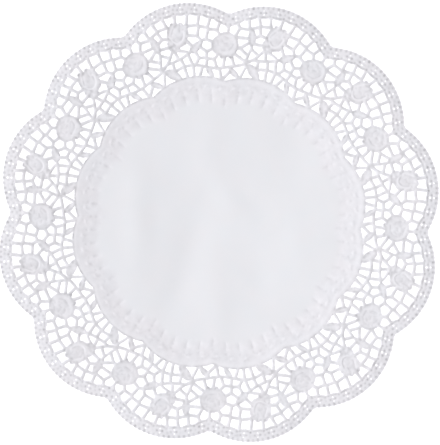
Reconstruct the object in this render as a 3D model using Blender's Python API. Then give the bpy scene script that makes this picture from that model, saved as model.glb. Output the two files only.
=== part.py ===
"""Round paper lace doily, 300 mm across, lying flat: one die-cut and embossed sheet.

Run it with: blender --background --python part.py

The sheet has twelve equal repeats. A repeat holds one lobe of the edge, two roses, five leaves, their
stems and a net of gaps. A gap is charted by its centre alone. Its outline is found by walking out from
that centre until half a strand is left to the next gap, or until a stem, leaf, rose or border is met.
Lengths are in millimetres here, and turned to metres when the mesh is made. Turns are in degrees,
clockwise from +Y seen from above, and the chart gives the repeat whose lobe points along +Y.
"""

import math
from collections import namedtuple

import bmesh
import bpy
import numpy as np
from mathutils.geometry import delaunay_2d_cdt

METRES_PER_MM = 0.001
CDT_MERGE = 1e-6

# Driving sizes of the sheet
REPEATS = 12
STEP = 360.0 / REPEATS
RADIUS = 150.0  # centre to the tip of a lobe
LOBE_AT = 98.2  # centre of a lobe's arc, from the centre
DISC_RADIUS = 99.8  # centre to the tip of a lobe of the plain middle
DISC_LOBE_AT = 57.2
BORDER_WIDTH = 7.9
STRAND_WIDTH = 0.9
GAPS_CUT = 25  # in a repeat, the largest first: twelve times 25 is 300
THICKNESS = 1.0

# Embossing, all above the sheet's upper face
BORDER_RAISE = 0.5
EDGE_RAISE = 0.2
RIM_RAISE = 0.5
ROSE_RAISE = 0.7
PETAL_DIP = 0.3
LEAF_RAISE = 0.5

# Widths of the slopes at the foot of what is raised
BORDER_SLOPE = 1.4
RIM_SLOPE = 1.2
ROSE_FOOT = 0.9
ROSE_SLOPE = 1.3
LEAF_FOOT = 0.55

# How finely curves are stepped
LOBE_STEPS = 10
DISC_STEPS = 8
STEM_STEPS = 6  # between two points of its route
ROSE_CORNERS = 10
GAP_CORNERS = 6

# How a gap's outline is walked
RAYS = 36
WALK_STEPS = 24
REACH = 9.0  # no gap reaches further from its centre
CORNER_ROUND = 0.45
SIGHT_STEPS = 48  # points tried along the line between two gaps
SIGHT_OVERLAP = 0.1  # a stem may lie that deep in this line and still not part the two gaps

Gap = namedtuple("Gap", "turn radius")
Leaf = namedtuple("Leaf", "turn radius lean length width")
Stem = namedtuple("Stem", "width route")
Petal = namedtuple("Petal", "turn radius size")
LeafCorner = namedtuple("LeafCorner", "ahead across")

# Row by row from the border inwards
GAPS = [
    Gap(-13.4, 130.8), Gap(-10.4, 134.4), Gap(-7.6, 136.0), Gap(-4.6, 138.4), Gap(-1.8, 140.3),
    Gap(1.7, 139.4), Gap(4.5, 137.6), Gap(7.9, 135.6), Gap(10.6, 133.5), Gap(13.5, 130.8),
    Gap(-10.4, 127.9), Gap(-6.4, 130.2), Gap(-4.2, 131.6), Gap(4.4, 130.2), Gap(7.2, 128.4),
    Gap(10.3, 126.4), Gap(-5.0, 125.3), Gap(4.0, 124.1), Gap(-10.4, 122.2), Gap(1.7, 119.9),
    Gap(8.4, 119.5), Gap(-5.1, 119.1), Gap(-8.7, 117.8), Gap(-0.7, 115.9), Gap(-3.2, 114.6),
    Gap(-6.6, 114.2), Gap(-10.1, 114.0), Gap(6.3, 114.3), Gap(9.7, 113.2), Gap(3.6, 111.8),
    Gap(1.1, 110.6), Gap(-2.1, 109.1), Gap(-6.0, 109.0), Gap(6.2, 108.4), Gap(12.4, 108.4),
    Gap(-11.4, 109.6), Gap(-14.2, 107.7), Gap(9.4, 107.0), Gap(1.4, 103.6), Gap(4.4, 103.2),
    Gap(-1.6, 102.9), Gap(-10.2, 103.4), Gap(-7.1, 101.4), Gap(6.8, 101.3), Gap(14.2, 101.6),
    Gap(11.2, 100.6), Gap(-13.4, 97.8),
]

# Lean is the leaf's own turn from straight outwards
LEAVES = [
    Leaf(-7.6, 126.2, -8.0, 11.5, 5.2),
    Leaf(5.3, 119.5, 62.0, 12.0, 5.0),
    Leaf(-4.9, 104.4, 115.0, 11.0, 4.8),
    Leaf(8.8, 101.8, 155.0, 8.0, 3.2),
    Leaf(-12.7, 101.6, 135.0, 9.0, 4.0),
]

# A route is a few (turn, radius) points, and the stem is a smooth curve through them
STEMS = {
    "bud stem": Stem(1.3, [(-8.5, 108.0), (-5.2, 113.0), (-2.9, 119.5)]),
    "leaf stem": Stem(1.2, [(-6.9, 110.0), (-2.5, 112.0), (0.1, 113.6), (2.6, 116.2)]),
    "calyx stem": Stem(1.1, [(-2.9, 119.5), (0.5, 117.5), (2.4, 115.6)]),
    "upright stem": Stem(1.2, [(-8.5, 108.0), (-7.6, 113.5), (-7.2, 119.5), (-7.5, 121.0)]),
    "vine": Stem(1.3, [
        (21.5, 108.0), (19.2, 106.3), (15.2, 104.6), (12.0, 103.8), (8.8, 104.4),
        (5.7, 106.1), (3.0, 107.2), (0.0, 107.3), (-2.4, 106.4), (-4.0, 105.2),
    ]),
    "tie": Stem(1.0, [(-8.5, 108.0), (-9.9, 96.0)]),
    "leaf tie": Stem(1.1, [(-8.5, 108.0), (-7.0, 106.0)]),
    "leaf foot": Stem(2.4, [(-3.2, 102.2), (-2.8, 98.0)]),
    "side leaf foot": Stem(1.6, [(10.2, 98.8), (11.0, 96.8)]),
    "low leaf foot": Stem(1.6, [(-11.0, 98.8), (-10.4, 96.0)]),
}

# A rose is a few overlapping discs. The first of them is its heart
ROSES = {
    "bud": [
        Petal(-0.4, 128.6, 6.7), Petal(0.6, 130.6, 5.5), Petal(-1.3, 134.5, 2.6), Petal(1.0, 135.0, 2.2),
        Petal(2.6, 133.5, 1.5), Petal(-2.8, 124.2, 2.4), Petal(-2.4, 120.8, 2.0), Petal(-2.9, 119.6, 1.3),
    ],
    "full": [
        Petal(14.5, 119.8, 8.1), Petal(13.3, 112.4, 1.5), Petal(13.1, 111.4, 1.0),
        Petal(16.1, 112.4, 1.5), Petal(16.3, 111.4, 1.0),
    ],
}


# Corners of a leaf's pad, as shares of its half length and half width, and the length of its rib
LEAF_CORNERS = [
    LeafCorner(1.0, 0.0), LeafCorner(0.42, 0.85), LeafCorner(-0.42, 0.85),
    LeafCorner(-1.0, 0.0), LeafCorner(-0.42, -0.85), LeafCorner(0.42, -0.85),
]
LEAF_RIB = 0.4  # of the leaf's length


def place(turn, radius):
    """The point at that turn and radius, in millimetres."""
    angle = math.radians(turn)
    return np.array([radius * math.sin(angle), radius * math.cos(angle)])


def turned(points, turn):
    """Points turned clockwise about the sheet's centre."""
    c, s = math.cos(math.radians(turn)), math.sin(math.radians(turn))
    return np.asarray(points) @ np.array([[c, -s], [s, c]])


def smooth_route(points):
    """A Catmull-Rom curve through the points."""
    p = [2 * points[0] - points[1], *points, 2 * points[-1] - points[-2]]
    curve = []
    for a, b, c, d in zip(p, p[1:], p[2:], p[3:]):
        for t in np.arange(STEM_STEPS) / STEM_STEPS:
            slope = (c - a) * t
            bend = (2 * a - 5 * b + 4 * c - d) * t**2 + (3 * (b - c) + d - a) * t**3
            curve.append(b + (slope + bend) / 2)
    curve.append(points[-1])
    return np.array(curve)


def neighbouring(make):
    """What make(turn offset) gives for the charted repeat and the one on each side of it."""
    return [item for side in (-STEP, 0.0, STEP) for item in make(side)]


def stem_segments(side):
    """(start, end, half width) of each short run of each stem."""
    for stem in STEMS.values():
        curve = smooth_route([place(turn + side, radius) for turn, radius in stem.route])
        for start, end in zip(curve, curve[1:]):
            yield start, end, stem.width / 2


def leaf_axes(leaf, side=0.0):
    """A leaf's middle, and the direction it points in."""
    lean = math.radians(leaf.turn + leaf.lean + side)
    return place(leaf.turn + side, leaf.radius), np.array([math.sin(lean), math.cos(lean)])


SEGMENTS = neighbouring(stem_segments)
STARTS = np.array([s[0] for s in SEGMENTS])
RUNS = np.array([s[1] - s[0] for s in SEGMENTS])
HALF_WIDTHS = np.array([s[2] for s in SEGMENTS])
PETALS = neighbouring(
    lambda side: [(place(p.turn + side, p.radius), p.size) for rose in ROSES.values() for p in rose]
)
SIDE_LEAVES = neighbouring(lambda side: [(leaf, *leaf_axes(leaf, side)) for leaf in LEAVES])
LOBES = neighbouring(lambda side: [place(side, LOBE_AT)])
DISC_LOBES = neighbouring(lambda side: [place(side, DISC_LOBE_AT)])
CENTRES = np.array([place(gap.turn, gap.radius) for gap in GAPS])
ALL_CENTRES = np.array(neighbouring(lambda side: [place(gap.turn + side, gap.radius) for gap in GAPS]))


def leaf_distance(points, leaf, middle, along):
    """Distance from the outline of a leaf, which is where two equal discs overlap. Negative inside."""
    half_length, half_width = leaf.length / 2, leaf.width / 2
    bow = (half_length**2 + half_width**2) / (2 * half_width)
    across = np.abs((points - middle) @ np.array([along[1], -along[0]]))
    ahead = np.abs((points - middle) @ along)
    beyond_tip = (ahead - half_length) * (bow - half_width) > across * half_length
    return np.where(
        beyond_tip,
        np.hypot(across, ahead - half_length),
        np.hypot(across + bow - half_width, ahead) - bow,
    )


def clearance(points):
    """How far each point is from the nearest stem, leaf, rose or border. Negative inside one."""
    from_start = points[:, None] - STARTS
    share = np.clip((from_start * RUNS).sum(-1) / (RUNS**2).sum(-1), 0, 1)
    found = (np.linalg.norm(from_start - share[..., None] * RUNS, axis=-1) - HALF_WIDTHS).min(1)
    for centre, size in PETALS:
        found = np.minimum(found, np.linalg.norm(points - centre, axis=1) - size)
    for leaf, middle, along in SIDE_LEAVES:
        found = np.minimum(found, leaf_distance(points, leaf, middle, along))
    to_lobes = np.min([np.linalg.norm(points - centre, axis=1) for centre in LOBES], axis=0)
    to_disc = np.min([np.linalg.norm(points - centre, axis=1) for centre in DISC_LOBES], axis=0)
    found = np.minimum(found, RADIUS - LOBE_AT - BORDER_WIDTH - to_lobes)
    return np.minimum(found, to_disc - (DISC_RADIUS - DISC_LOBE_AT))


def walk_out(centre, room, rays=RAYS):
    """The closed outline reached from the centre by going outwards along each ray while there is room."""
    angle = np.arange(rays) * 2 * math.pi / rays
    ways = np.stack([np.sin(angle), np.cos(angle)], 1)
    gone = np.zeros(rays)
    for _ in range(WALK_STEPS):
        gone = np.clip(gone + room(centre + ways * gone[:, None]), 0, REACH)
    return centre + ways * gone[:, None]


def gap_outline(centre):
    """A gap ends half a strand short of the line midway to each gap that it faces.

    Its corners are rounded by a soft minimum of the room left to each of those lines and to the motifs.
    """
    offsets = ALL_CENTRES - centre
    apart = np.linalg.norm(offsets, axis=1)
    near = (apart > 1) & (apart < 2 * REACH)
    offsets, apart = offsets[near], apart[near]
    along = np.linspace(0, 1, SIGHT_STEPS)[:, None]
    faced = np.array([clearance(centre + offset * along).min() > -SIGHT_OVERLAP for offset in offsets])
    normals = offsets[faced] / apart[faced, None]
    limits = (apart[faced] - STRAND_WIDTH) / 2

    def room(points):
        to_strands = limits - (points - centre) @ normals.T
        each = np.column_stack([clearance(points), to_strands])
        return -CORNER_ROUND * np.log(np.exp(-each / CORNER_ROUND).sum(1))

    return walk_out(centre, room)


def triangle_area(a, b, c):
    """Signed area of a triangle."""
    return 0.5 * ((b[0] - a[0]) * (c[1] - a[1]) - (b[1] - a[1]) * (c[0] - a[0]))


def loop_area(loop):
    """Area inside a closed outline."""
    x, y = np.asarray(loop).T
    return 0.5 * abs(np.dot(x, np.roll(y, -1)) - np.dot(y, np.roll(x, -1)))


def corners_only(loop):
    """The outline with a few corners: the points whose leaving out changes its area least are gone."""
    kept = list(loop)
    while len(kept) > GAP_CORNERS:
        costs = [
            abs(triangle_area(kept[i - 1], kept[i], kept[(i + 1) % len(kept)])) for i in range(len(kept))
        ]
        kept.pop(int(np.argmin(costs)))
    return np.array(kept)


def scalloped(lobe_at, lobe_radius, steps):
    """A closed outline of equal arcs, one to a repeat, whose circles have that radius."""
    notch = math.radians(STEP / 2)
    reach = lobe_at * math.cos(notch) + math.sqrt(lobe_radius**2 - (lobe_at * math.sin(notch)) ** 2)
    half_arc = math.atan2(reach * math.sin(notch), reach * math.cos(notch) - lobe_at)
    angle = np.linspace(-half_arc, half_arc, steps, endpoint=False)
    arc = np.stack([lobe_radius * np.sin(angle), lobe_at + lobe_radius * np.cos(angle)], 1)
    return np.concatenate([turned(arc, STEP * k) for k in range(REPEATS)])


def rose_outline(rose, inset):
    """The outline of a rose's overlapping discs, drawn in by that much, from its heart."""
    centres = [(place(p.turn, p.radius), p.size) for p in rose]

    def room(points):
        inside = np.max([size - np.linalg.norm(points - c, axis=1) for c, size in centres], axis=0)
        return np.clip(inside - inset, 0, None)

    return walk_out(centres[0][0], room, rays=ROSE_CORNERS)


def leaf_outline(leaf, inset):
    """A leaf's two tips and two points on each side, drawn in by that much."""
    middle, along = leaf_axes(leaf)
    across = np.array([along[1], -along[0]])
    half_length, half_width = leaf.length / 2 - 2 * inset, leaf.width / 2 - inset
    return np.array([
        middle + along * half_length * corner.ahead + across * half_width * corner.across
        for corner in LEAF_CORNERS
    ])


def around(loop):
    """The pairs of neighbours round a closed loop."""
    return list(zip(loop, loop[1:] + loop[:1]))


class Sheet:
    """Points with a height each, and the lines between them that the upper face must follow."""

    def __init__(self):
        self.points, self.heights, self.lines = [], [], []
        self.outline, self.holes = [], []

    def add(self, points, heights, closed=True):
        """Adds a line through the points, and gives their numbers."""
        first, count = len(self.points), len(points)
        self.points.extend(map(tuple, points))
        self.heights.extend(np.broadcast_to(np.asarray(heights, float), count))
        ends = count if closed else count - 1
        self.lines.extend((first + i, first + (i + 1) % count) for i in range(ends))
        return list(range(first, first + count))

    def fill(self, lines):
        """Triangles between the lines, facing up, without those in a hole or outside the outline."""
        used = sorted({i for line in lines for i in line})
        local = {index: i for i, index in enumerate(used)}
        edges = [(local[a], local[b]) for a, b in lines]
        found = delaunay_2d_cdt([self.points[i] for i in used], edges, [], 0, CDT_MERGE)
        filled_points, filled_faces, sources = found[0], found[2], found[3]
        if len(filled_points) != len(used):
            raise ValueError("two lines of the sheet cross or touch")
        faces = np.array([[used[sources[i][0]] for i in face] for face in filled_faces])
        points = np.array(self.points)
        middles = points[faces].mean(1)
        keep = inside(middles, points[self.outline])
        for hole in self.holes:
            near = np.linalg.norm(middles - points[hole].mean(0), axis=1) < 2 * REACH
            keep[near] &= ~inside(middles[near], points[hole])
        return faces[keep]


def inside(points, loop):
    """Whether each point is inside a closed outline, by the crossings of a line to its right."""
    x, y = points[:, :1], points[:, 1:]
    ax, ay = loop.T
    bx, by = np.roll(loop, -1, axis=0).T
    spans = (ay > y) != (by > y)
    rise = np.where(by == ay, 1.0, by - ay)
    return (spans & (x < ax + (y - ay) * (bx - ax) / rise)).sum(1) % 2 == 1


def add_border(sheet):
    """The outline, and the raised band just inside it."""
    lobe = RADIUS - LOBE_AT
    sheet.outline = sheet.add(scalloped(LOBE_AT, lobe, LOBE_STEPS), THICKNESS + EDGE_RAISE)
    sheet.add(scalloped(LOBE_AT, lobe - BORDER_SLOPE, LOBE_STEPS), THICKNESS + BORDER_RAISE)
    inner = lobe - BORDER_WIDTH + BORDER_SLOPE
    sheet.add(scalloped(LOBE_AT, inner, LOBE_STEPS), THICKNESS + BORDER_RAISE)


def add_rim(sheet):
    """The raised cord round the plain middle: its crest, and its inner foot."""
    lobe = DISC_RADIUS - DISC_LOBE_AT
    sheet.add(scalloped(DISC_LOBE_AT, lobe - RIM_SLOPE, DISC_STEPS), THICKNESS + RIM_RAISE)
    sheet.add(scalloped(DISC_LOBE_AT, lobe - 2 * RIM_SLOPE, DISC_STEPS), THICKNESS)


def add_roses(sheet, turn):
    """A pad for each rose, whose petals rise and dip round it."""
    for rose in ROSES.values():
        foot = rose_outline(rose, ROSE_FOOT)
        crest = rose_outline(rose, ROSE_FOOT + ROSE_SLOPE)
        dips = ROSE_RAISE - PETAL_DIP * (np.arange(ROSE_CORNERS) % 2)
        sheet.add(turned(foot, turn), THICKNESS)
        sheet.add(turned(crest, turn), THICKNESS + dips)


def add_leaves(sheet, turn):
    """A pad for each leaf, with its midrib as the crest."""
    for leaf in LEAVES:
        middle, along = leaf_axes(leaf)
        rib = middle + np.outer([-0.5, 0.5], along) * leaf.length * LEAF_RIB
        sheet.add(turned(leaf_outline(leaf, LEAF_FOOT), turn), THICKNESS)
        sheet.add(turned(rib, turn), THICKNESS + LEAF_RAISE, closed=False)


def add_gaps(sheet, loops, turn):
    """The gaps that are cut through in one repeat."""
    for loop in loops:
        sheet.holes.append(sheet.add(turned(loop, turn), THICKNESS))


def largest_gaps():
    """Outlines of the largest gaps of a repeat, with only the corners that their shapes need."""
    loops = [corners_only(gap_outline(centre)) for centre in CENTRES]
    return sorted(loops, key=loop_area, reverse=True)[:GAPS_CUT]


def drop_loose_points(mesh):
    """Leaves out the points that no face uses, such as the underside's copies of the embossing."""
    work = bmesh.new()
    work.from_mesh(mesh)
    bmesh.ops.delete(work, geom=[v for v in work.verts if not v.link_faces], context="VERTS")
    work.to_mesh(mesh)
    work.free()


def sheet_mesh(sheet):
    """The closed mesh: the embossed upper face, the flat underside and the cut walls between them."""
    count = len(sheet.points)
    cut_loops = [sheet.outline, *sheet.holes]
    upper = sheet.fill(sheet.lines)
    under = sheet.fill([line for loop in cut_loops for line in around(loop)])[:, ::-1] + count
    walls = []
    for loop in cut_loops:
        points = np.array(sheet.points)[loop]
        x, y = points.T
        clockwise = np.dot(x, np.roll(y, -1)) < np.dot(y, np.roll(x, -1))
        if clockwise == (loop is sheet.outline):
            loop = loop[::-1]
        walls += [(a + count, b + count, b, a) for a, b in around(loop)]
    top = np.column_stack([sheet.points, sheet.heights])
    bottom = np.column_stack([sheet.points, np.zeros(count)])
    points = np.concatenate([top, bottom]) * METRES_PER_MM
    mesh = bpy.data.meshes.new("doily")
    mesh.from_pydata(points.tolist(), [], [*upper.tolist(), *under.tolist(), *walls])
    drop_loose_points(mesh)
    return mesh


def paper():
    """Matt white lace paper."""
    material = bpy.data.materials.new("lace_paper")
    material.use_nodes = True
    shader = material.node_tree.nodes["Principled BSDF"]
    shader.inputs["Base Color"].default_value = (0.80, 0.80, 0.83, 1.0)
    shader.inputs["Roughness"].default_value = 0.85
    shader.inputs["Metallic"].default_value = 0.0
    return material


def main():
    for thing in list(bpy.data.objects):
        bpy.data.objects.remove(thing)
    sheet = Sheet()
    add_border(sheet)
    add_rim(sheet)
    loops = largest_gaps()
    for repeat in range(REPEATS):
        turn = STEP * repeat
        add_gaps(sheet, loops, turn)
        add_roses(sheet, turn)
        add_leaves(sheet, turn)
    mesh = sheet_mesh(sheet)
    mesh.materials.append(paper())
    doily = bpy.data.objects.new("doily", mesh)
    collection = bpy.data.collections.new("lace_doily")
    bpy.context.scene.collection.children.link(collection)
    collection.objects.link(doily)
    triangles = sum(len(face.vertices) - 2 for face in mesh.polygons)
    print(f"{REPEATS * len(loops)} gaps cut, {triangles} triangles")


main()
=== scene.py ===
# %% [markdown]
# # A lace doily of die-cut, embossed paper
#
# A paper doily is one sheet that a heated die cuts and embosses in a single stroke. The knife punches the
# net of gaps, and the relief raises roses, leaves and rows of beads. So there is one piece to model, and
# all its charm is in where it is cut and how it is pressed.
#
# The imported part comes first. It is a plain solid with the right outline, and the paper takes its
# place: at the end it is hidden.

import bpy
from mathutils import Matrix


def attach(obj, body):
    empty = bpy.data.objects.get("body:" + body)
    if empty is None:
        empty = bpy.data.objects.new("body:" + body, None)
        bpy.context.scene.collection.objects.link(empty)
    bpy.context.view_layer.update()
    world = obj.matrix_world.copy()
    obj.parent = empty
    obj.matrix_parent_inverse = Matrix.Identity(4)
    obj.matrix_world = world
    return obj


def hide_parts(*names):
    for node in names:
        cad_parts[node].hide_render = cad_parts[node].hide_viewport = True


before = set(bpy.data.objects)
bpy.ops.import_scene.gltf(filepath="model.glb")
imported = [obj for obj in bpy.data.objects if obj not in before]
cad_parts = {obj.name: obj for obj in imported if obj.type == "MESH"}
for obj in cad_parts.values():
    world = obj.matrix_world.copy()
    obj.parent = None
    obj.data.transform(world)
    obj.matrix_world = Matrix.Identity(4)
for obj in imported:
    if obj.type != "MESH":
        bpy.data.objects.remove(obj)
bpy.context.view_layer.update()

# %% Modules
import math
from collections import namedtuple

import bpy
import numpy as np
from mathutils import noise
from mathutils.geometry import delaunay_2d_cdt
from mathutils.kdtree import KDTree

# %% [markdown]
# ## The chart
#
# The pattern turns twelve times round the middle, so only one twelfth is charted: the part whose lobe
# points along +Y. A place is a turn, in degrees clockwise from +Y, and a radius in millimetres. They become
# metres only when the mesh is made.
#
# A gap of the net is charted by its centre alone. Its outline follows from its neighbours later on, in the
# way that a soap bubble in a foam takes its shape, and that keeps the strands between gaps even.

# %% Sizes of the sheet
METRES_PER_MM = 0.001
REPEATS = 12
STEP = 360.0 / REPEATS
SIDES = (-STEP, 0.0, STEP)  # the charted repeat and the one on each side of it
RADIUS = 150.0  # centre to the tip of a lobe
LOBE_AT = 98.2  # centre of a lobe's arc
LOBE = RADIUS - LOBE_AT
DISC_RADIUS = 99.95  # centre to the tip of a lobe of the plain middle
DISC_LOBE_AT = 57.2
DISC_LOBE = DISC_RADIUS - DISC_LOBE_AT
BORDER_WIDTH = 8.6  # at its widest
BEAD_STEP = 3.875  # of the border's edge beads, in degrees about the lobe's centre
WINDOW_STEP = 3 * BEAD_STEP
SWAG_DIP = 0.9
SWAG_SPAN = 0.32  # half of it, as a share of a window's step
STRAND_WIDTH = 2.25
PAPER = 0.3  # thickness, three times the real one so that its edge catches light
print(f"a sheet {2 * RADIUS:.0f} mm across, with {REPEATS} lobes of {LOBE:.1f} mm radius")

# %% Rows of the chart
Leaf = namedtuple("Leaf", "turn radius lean length width belly")
Stem = namedtuple("Stem", "width press route")
Petal = namedtuple("Petal", "turn radius size")

GAPS = [  # turn and radius
    (-13.4, 130.8), (-10.4, 134.4), (-7.6, 136.0), (-4.6, 138.4), (-1.9, 140.3), (1.7, 139.4),
    (4.7, 137.5), (8.0, 135.6), (10.6, 133.4), (13.6, 130.8), (-10.5, 127.9), (-6.6, 130.0),
    (-4.3, 131.5), (4.6, 129.6), (7.2, 128.2), (10.1, 126.3), (-5.0, 125.3), (4.1, 123.8),
    (-10.4, 122.2), (1.7, 119.9), (8.4, 118.8), (-5.0, 119.1), (-8.8, 117.8), (-0.7, 115.9),
    (-3.2, 114.6), (-6.5, 114.2), (-10.1, 114.0), (6.4, 114.1), (9.7, 113.2), (3.6, 111.8),
    (1.0, 110.4), (-2.0, 108.9), (-5.9, 109.0), (6.2, 108.4), (12.3, 108.6), (-11.4, 109.6),
    (-14.2, 107.7), (9.4, 107.0), (1.4, 103.6), (4.3, 103.2), (-1.6, 102.9), (-10.2, 103.4),
    (-7.1, 101.4), (6.8, 101.3), (14.2, 101.6), (11.2, 100.6), (-13.4, 97.8),
]

# Lean is a leaf's turn from straight outwards. Belly is where it's widest, as a share from its tail
LEAVES = [
    Leaf(-7.6, 126.2, -9, 11.6, 5.7, 0.5),
    Leaf(4.9, 119.2, 53, 11.3, 5.7, 0.4),
    Leaf(-4.8, 103.4, 134, 12.6, 6.3, 0.42),
    Leaf(8.8, 101.6, 150, 8.2, 3.9, 0.5),
    Leaf(-12.3, 101.3, 131, 8.8, 4.4, 0.5),
]

# A stem's width, the share of the strands' painted shade that it takes, and its route
STEMS = {
    "bud stem": Stem(2.1, 1.0, [(-8.5, 108.0), (-5.2, 113.0), (-2.9, 119.5)]),
    "leaf stem": Stem(2.1, 1.0, [(-7.4, 110.1), (-5.9, 111.5), (-3.7, 111.8), (0.1, 113.6), (2.6, 116.2)]),
    "calyx stem": Stem(1.95, 0.6, [(-2.9, 119.5), (0.5, 117.5), (2.4, 115.6)]),
    "upright stem": Stem(2.0, 1.0, [(-8.6, 108.6), (-7.9, 113.5), (-7.2, 119.5), (-7.5, 121.0)]),
    "vine": Stem(2.15, 1.0, [
        (21.5, 108.0), (19.2, 106.3), (15.2, 104.6), (12.0, 103.8), (8.8, 104.4),
        (5.7, 106.1), (3.0, 107.2), (0.0, 107.3), (-2.4, 106.4), (-4.0, 105.2),
    ]),
    "tie": Stem(1.9, 0.7, [(-7.9, 106.4), (-8.9, 101.4), (-9.7, 97.0)]),
    "leaf tie": Stem(2.1, 1.1, [(-8.5, 108.3), (-7.9, 106.4), (-7.2, 106.0)]),
    "notch tie": Stem(1.95, 1.0, [(15.1, 132.0), (15.0, 126.0)]),
    "side leaf foot": Stem(3.0, 0.3, [(9.2, 99.8), (9.7, 97.8)]),
    "low leaf foot": Stem(3.1, 0.3, [(-10.9, 99.2), (-10.1, 97.2)]),
}

# A rose's outline is that of overlapping discs, and the first is its heart
ROSES = {
    "bud": [
        Petal(-0.4, 128.6, 7), Petal(0.6, 130.4, 5.8), Petal(-1.2, 136.2, 1.6), Petal(-1.4, 133.0, 3.2),
        Petal(-2.0, 132.0, 2.7), Petal(1.1, 135.2, 1.9), Petal(0.4, 133.2, 3.1), Petal(2.5, 133.4, 1.8),
        Petal(-2.8, 124.2, 2.7), Petal(-2.4, 120.8, 2.3), Petal(-3.1, 121.0, 1.7), Petal(-2.9, 119.6, 1.4),
        Petal(-0.5, 124.3, 4.1), Petal(0.7, 124.2, 3.2), Petal(-1.1, 119.9, 1.5),
    ],
    "full": [
        Petal(14.5, 119.8, 8.5), Petal(13.1, 119.2, 7.1), Petal(13.3, 112.4, 1.8), Petal(13.1, 111.4, 1.3),
        Petal(16.1, 112.4, 1.8), Petal(16.3, 111.4, 1.3),
    ],
}
print(f"{len(GAPS)} gaps, {len(LEAVES)} leaves, {len(STEMS)} stems and {len(ROSES)} roses in a repeat")


# %% Places and turns
def place(turn, radius):
    """The point at that turn and radius."""
    angle = np.radians(turn)
    return np.stack([radius * np.sin(angle), radius * np.cos(angle)], -1)


def ring(count, radius, turn=0.0):
    """Points evenly round a ring."""
    return place(np.arange(count) * 360 / count + turn, radius)


def turned(points, turn):
    """Points turned clockwise about the sheet's centre, all by one turn or each by its own."""
    c, s = np.cos(np.radians(turn)), np.sin(np.radians(turn))
    x, y = np.asarray(points).T
    return np.stack([c * x + s * y, c * y - s * x], -1)


def all_sides(points):
    """The points and their copies in the next repeats."""
    return np.concatenate([turned(points, side) for side in SIDES])


def to_right(ahead):
    """The direction at right angles to each direction, to its right."""
    return np.stack([ahead[..., 1], -ahead[..., 0]], -1)


def into_first_repeat(points):
    """Points turned by whole repeats into the charted one."""
    turns = np.degrees(np.arctan2(points[:, 0], points[:, 1]))
    return turned(points, -STEP * np.round(turns / STEP))


def smooth_route(points, steps=8):
    """A Catmull-Rom curve through the points, which are places in the plane."""
    p = [2 * points[0] - points[1], *points, 2 * points[-1] - points[-2]]
    curve = []
    for a, b, c, d in zip(p, p[1:], p[2:], p[3:]):
        for t in np.arange(steps) / steps:
            slope = (c - a) * t
            bend = (2 * a - 5 * b + 4 * c - d) * t**2 + (3 * (b - c) + d - a) * t**3
            curve.append(b + (slope + bend) / 2)
    curve.append(points[-1])
    return np.array(curve)


def spaced(curve, spacing, closed=False):
    """Points at even spacing along a curve."""
    curve = np.vstack([curve, curve[:1]]) if closed else curve
    along = np.concatenate([[0], np.cumsum(np.linalg.norm(np.diff(curve, axis=0), axis=1))])
    count = max(2, round(along[-1] / spacing))
    stops = np.linspace(0, along[-1], count + 1)[: count if closed else None]
    return np.stack([np.interp(stops, along, curve[:, axis]) for axis in (0, 1)], 1)


# %% [markdown]
# ## Room for the gaps
#
# Everything that isn't a gap keeps the gaps off: the border, the plain middle, leaves, stems and roses. Each
# of these has a simple distance formula. A leaf is a row of discs that swells to its belly, a stem is a row
# of capsules, and a rose is a few discs. The smallest of all these distances is the clearance of a point.

# %% Distances to lines and to scalloped edges
def from_runs(points, *curves):
    """Distance from each point to each straight run of the curves."""
    starts = np.concatenate([curve[:-1] for curve in curves])
    runs = np.concatenate([curve[1:] for curve in curves]) - starts
    from_start = points[:, None] - starts
    share = np.clip((from_start * runs).sum(-1) / (runs**2).sum(-1), 0, 1)
    return np.linalg.norm(from_start - share[..., None] * runs, axis=-1)


def to_nearest(points, centres):
    """Distance from the nearest of the centres."""
    return np.min([np.linalg.norm(points - centre, axis=1) for centre in centres], axis=0)


def from_lobes(points, lobe_at):
    """Distance from the nearest centre of a ring of lobes."""
    return to_nearest(points, [place(side, lobe_at) for side in SIDES])


def lobe_reach(aside, lobe_at, lobe):
    """Radius of a lobe's edge, by the angle from the lobe's axis."""
    return lobe_at * np.cos(aside) + np.sqrt(np.maximum(lobe**2 - (lobe_at * np.sin(aside)) ** 2, 1.0))


def edge_inset(points, lobe_at, lobe):
    """How far inside a scalloped edge each point is, at most the radius of its lobes."""
    inset = lobe - from_lobes(points, lobe_at)
    return np.where(np.linalg.norm(points, axis=1) < lobe_at, lobe, inset)


def border_width(points):
    """Width of the border beside each point. It's widest where its swags hang down."""
    folded = into_first_repeat(points)
    about = np.degrees(np.arctan2(folded[:, 0], folded[:, 1] - LOBE_AT))
    return BORDER_WIDTH - SWAG_DIP * (1 - np.abs(np.sin(np.pi * about / WINDOW_STEP)))


# %% Distances to leaves and roses
LEAF_DISCS = 9
LEAF_FULLNESS = 0.6  # 1 for a slender leaf, less for a blunt one


def leaf_axes(leaf, side=0.0):
    """A leaf's middle, its direction and the direction to its right."""
    lean = math.radians(leaf.turn + leaf.lean + side)
    along = np.array([math.sin(lean), math.cos(lean)])
    return place(leaf.turn + side, leaf.radius), along, to_right(along)


def leaf_discs(leaf, side):
    """Middles and radii of the row of discs that fills a leaf."""
    middle, along, _ = leaf_axes(leaf, side)
    share = np.arange(1, LEAF_DISCS + 1) / (LEAF_DISCS + 1)
    swell = np.sin(np.pi * share ** (math.log(0.5) / math.log(leaf.belly))) ** LEAF_FULLNESS
    radii = np.minimum(leaf.width / 2 * swell, np.minimum(share, 1 - share) * leaf.length)
    return middle + np.outer((share - 0.5) * leaf.length, along), radii


def leaf_distance(points, leaf, side):
    """Distance from a leaf's outline, negative inside it."""
    middles, radii = leaf_discs(leaf, side)
    return (np.linalg.norm(points[:, None] - middles, axis=2) - radii).min(1)


def rose_distance(points, rose, side):
    """Distance from a rose's outline, negative inside it."""
    return np.min(
        [np.linalg.norm(points - place(p.turn + side, p.radius), axis=1) - p.size for p in rose], axis=0
    )


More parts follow.
